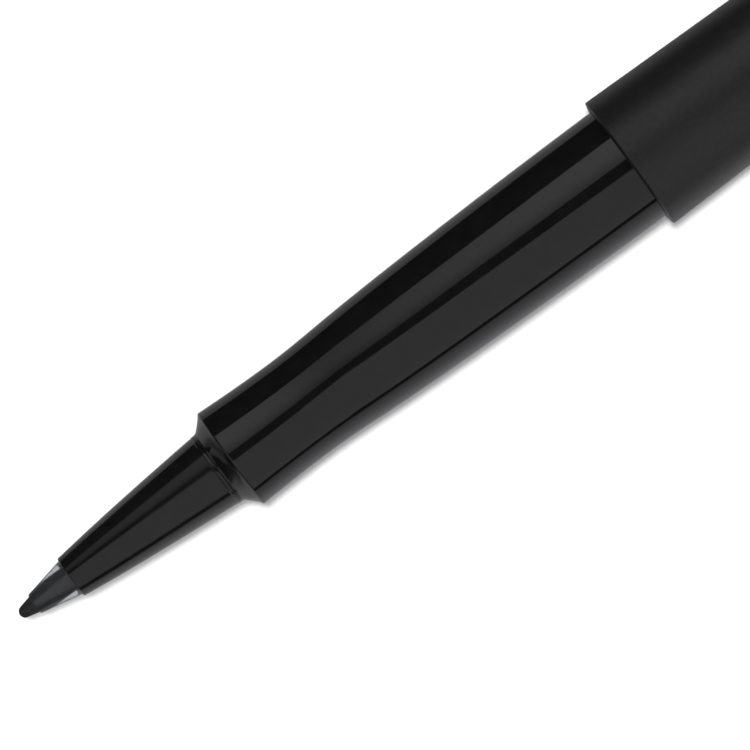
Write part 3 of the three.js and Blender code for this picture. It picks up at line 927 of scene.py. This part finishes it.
def white_table():
    """The wide white floor, in metres. It lies just below the pen, so that they share no plane."""
    half = 6.0
    level = -0.00003
    mesh = bpy.data.meshes.new("table")
    corners = [(-half, -half, level), (half, -half, level), (half, half, level), (-half, half, level)]
    mesh.from_pydata(corners, [], [(0, 1, 2, 3)])
    look = Look("white table")
    look.blend(look.noise(40), (0.84, 0.84, 0.84), (0.86, 0.86, 0.86))
    look.set(Roughness=0.9, Specular_IOR_Level=0.0)
    mesh.materials.append(look.material)
    table = add_object("table", mesh)
    table.visible_glossy = False


def key_light():
    """A soft key from nearly overhead, a little to the +Y side."""
    light = bpy.data.lights.new("key", "SUN")
    light.energy = 2.7
    light.angle = math.radians(6.5)  # the sun's width, which softens the shadow
    lean = math.radians(4.2)
    lamp = add_object("key", light)
    lamp.rotation_euler = (-lean, 0, 0)
    lamp.visible_glossy = False


def sky():
    """White for the camera, dimmer as a light, and for reflections dark except at both ends."""
    camera_white = 1.1
    light_white = 0.7
    end_white = 0.9
    end_edge = (0.5, 0.62)  # how far a direction points along the pen where the ends light up
    horizon_edge = (0.4, 0.62)  # and how far up it points there
    world = bpy.data.worlds.new("studio")
    world.use_nodes = True
    tree = world.node_tree
    nodes, links = tree.nodes, tree.links
    background = nodes["Background"]
    background.inputs["Color"].default_value = (1, 1, 1, 1)
    path = nodes.new("ShaderNodeLightPath")
    direction = nodes.new("ShaderNodeTexCoord")
    split = nodes.new("ShaderNodeSeparateXYZ")
    links.new(direction.outputs["Generated"], split.inputs["Vector"])
    lengthwise = nodes.new("ShaderNodeMath")
    lengthwise.operation = "ABSOLUTE"
    links.new(split.outputs["X"], lengthwise.inputs[0])
    ends = nodes.new("ShaderNodeMath")
    ends.operation = "MULTIPLY"
    along = lengthwise.outputs["Value"]
    links.new(ranged(tree, along, *end_edge, 0, end_white), ends.inputs[0])
    links.new(ranged(tree, split.outputs["Z"], *horizon_edge, 0, 1), ends.inputs[1])
    strength = nodes.new("ShaderNodeMix")
    links.new(path.outputs["Is Glossy Ray"], strength.inputs["Factor"])
    seen = ranged(tree, path.outputs["Is Camera Ray"], 0, 1, light_white, camera_white)
    links.new(seen, strength.inputs["A"])
    links.new(ends.outputs["Value"], strength.inputs["B"])
    links.new(strength.outputs["Result"], background.inputs["Strength"])
    bpy.context.scene.world = world


def camera():
    """A long lens straight above the front of the pen. An unturned camera looks down -Z."""
    data = bpy.data.cameras.new("camera")
    data.sensor_width = 36
    data.lens = data.sensor_width * CAMERA_HEIGHT / VIEW_WIDTH
    data.clip_start = 0.05
    data.clip_end = 20
    thing = add_object("camera", data)
    thing.location = overhead(VIEW_ALONG, VIEW_ASIDE, CAMERA_HEIGHT / MM)
    thing.rotation_euler = (0, 0, -PEN_TURN)
    bpy.context.scene.camera = thing


# ---- everything together ----

black_gloss = gloss_black("gloss black plastic", 0.05, 0.08)
black_satin = gloss_black("satin black plastic", 0.1, 0.15)
black_matte = matte_black()
plastic_white = white_plastic()

make_nib(inked_fibre())
make_guard(clear_plastic())
make_nose_cone(black_satin)
make_grip(black_gloss)
make_barrel(black_matte)
make_plug(black_gloss)
make_cap_shell(black_matte)
make_inner_cap(plastic_white)
make_crown(black_gloss)
make_clip(black_matte)
dress("ink_reservoir", white_fibre())
dress("reservoir_sleeve", clear_film())
dress("breather_tube", plastic_white)

left_card()
right_card()
table_glow()
flag()
white_table()
key_light()
sky()
camera()

bpy.context.scene.view_settings.view_transform = "Standard"
